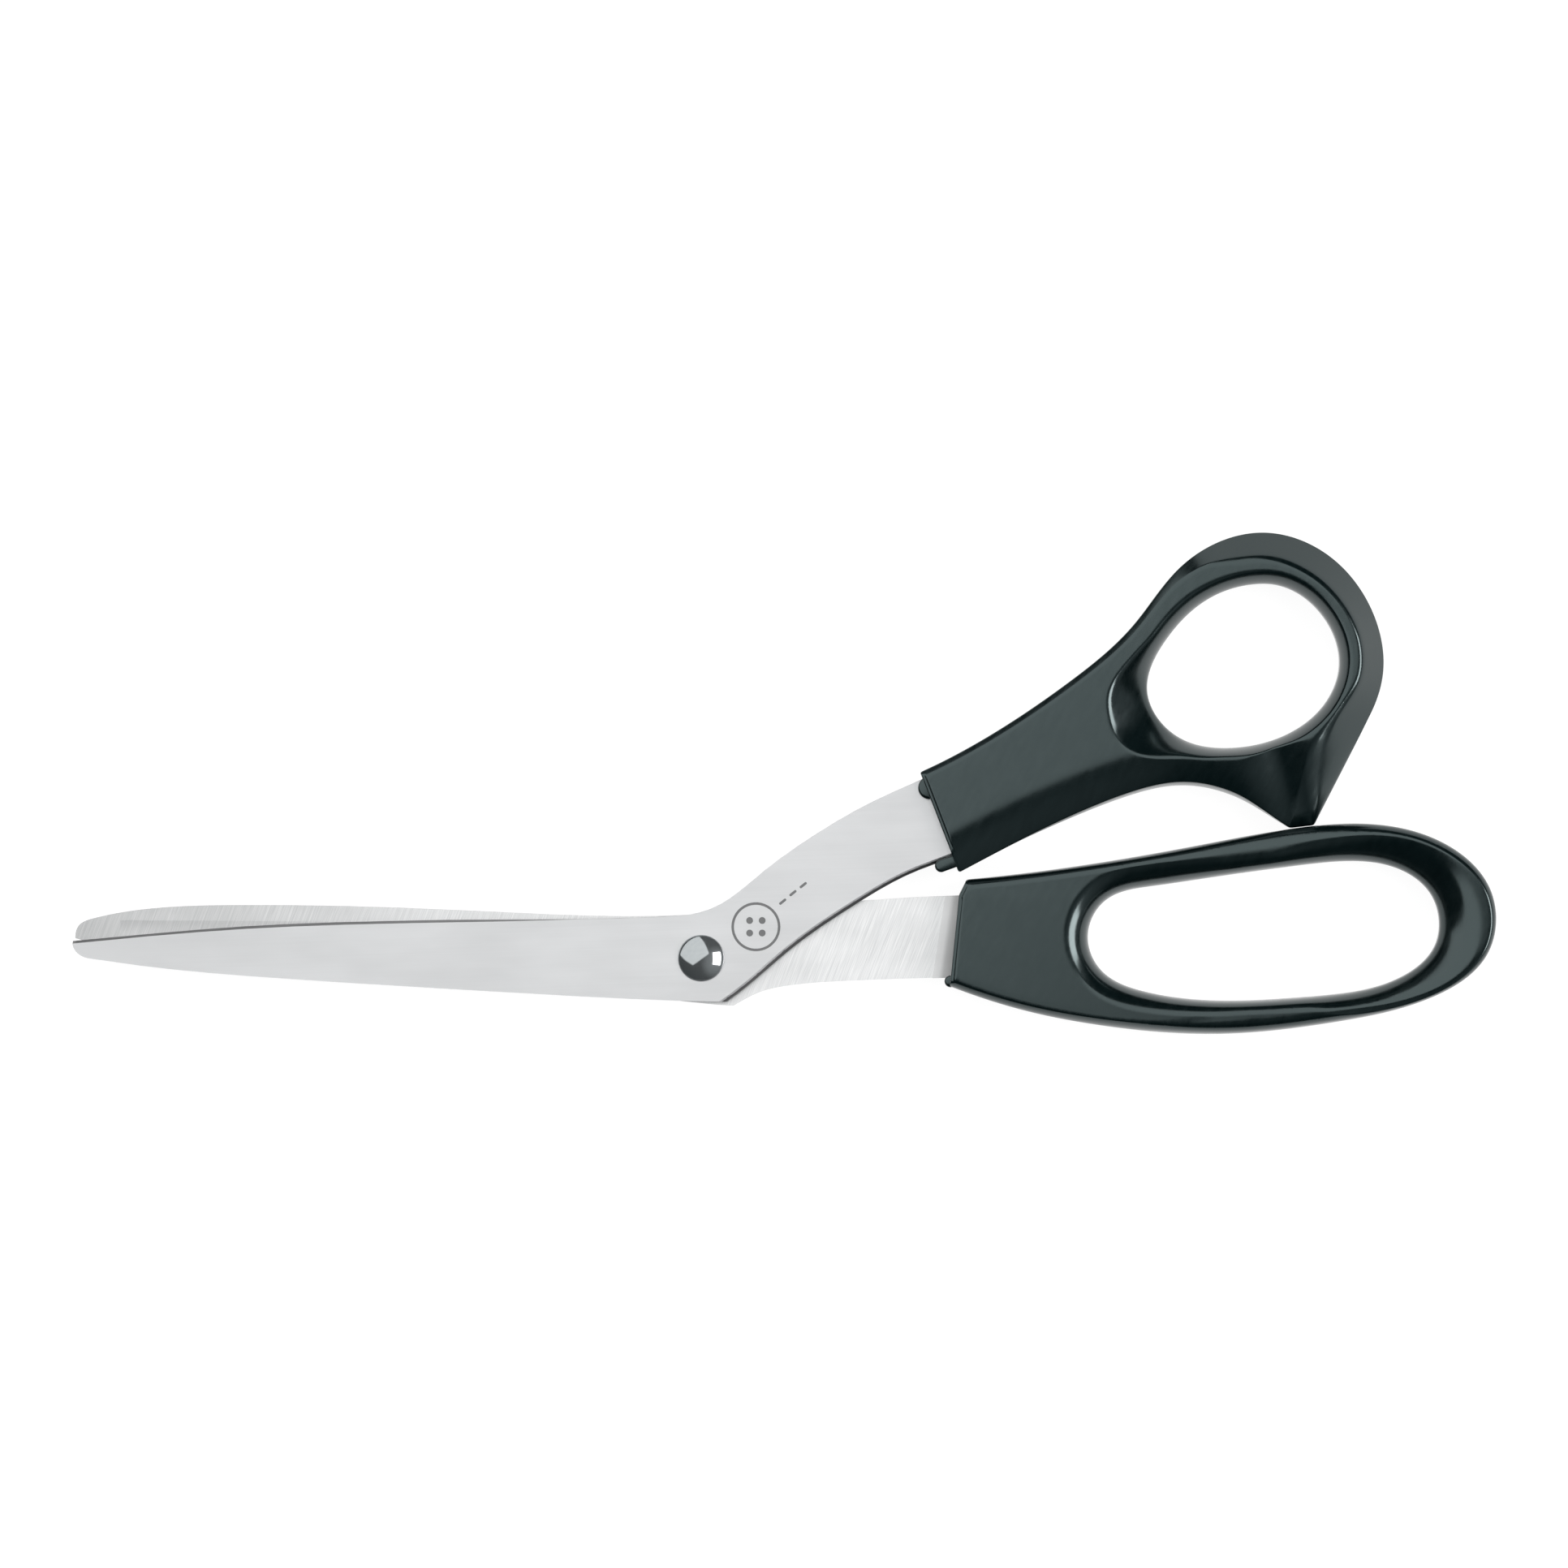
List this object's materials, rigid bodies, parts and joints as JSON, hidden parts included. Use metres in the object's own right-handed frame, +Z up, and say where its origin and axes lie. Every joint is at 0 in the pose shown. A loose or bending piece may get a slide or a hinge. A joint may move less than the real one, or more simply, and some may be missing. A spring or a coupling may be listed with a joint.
{
  "type": "fabric shears",
  "caption": "Bent-handle fabric shears: two riveted steel blades with black moulded handles, a round thumb bow and a long finger bow.",
  "frame": {"origin": "centre of the closed shears' bounding box, at its base: the surface that they lie on", "axes": "+X from the blade tips to the finger bow along the length, +Y from the finger bow to the thumb bow, +Z up through the thickness to the domed rivet head"},
  "size_m": [0.2498, 0.088, 0.01],
  "materials": {
    "blade_steel": "satin, ground lengthwise outside and across inside",
    "rivet_chrome": "polished",
    "washer_steel": "bright zinc plated",
    "handle_plastic": "black, semi-gloss, moulded"
  },
  "bodies": {
    "finger_side": {"rear_blade": "blade_steel", "finger_handle": "handle_plastic", "pivot_rivet": "rivet_chrome", "rear_washer": "washer_steel"},
    "thumb_side": {"front_blade": "blade_steel", "thumb_handle": "handle_plastic"}
  },
  "joints": [
    {"name": "blade_pivot", "type": "hinge", "parent": "finger_side", "child": "thumb_side", "pos_m": [-0.01458, -0.03067, 0.005], "axis": [0, 0, 1], "range_deg": [0, 129]}
  ]
}
